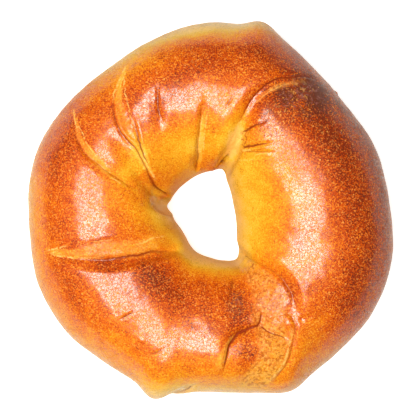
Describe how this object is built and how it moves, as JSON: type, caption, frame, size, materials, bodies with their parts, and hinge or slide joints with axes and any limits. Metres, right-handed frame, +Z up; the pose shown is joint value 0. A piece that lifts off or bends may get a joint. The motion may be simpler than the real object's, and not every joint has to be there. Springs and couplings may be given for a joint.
{
  "type": "bagel",
  "caption": "Hand-rolled ring of baked dough with an off-round hole, a flat base and a glossy browned crust with folds where the rope was tucked and joined.",
  "frame": {"origin": "bottom centre of the bounding box, on the surface the bagel lies on, in the middle of its outline", "axes": "+Z up through the hole; +Y towards the edge of the ring that has one soft corner, opposite the closing seam and the pinched corner"},
  "size_m": [0.1057, 0.1096, 0.0386],
  "materials": {
    "crust": "satin"
  },
  "bodies": {
    "root": {"bagel": "crust"}
  },
  "joints": []
}
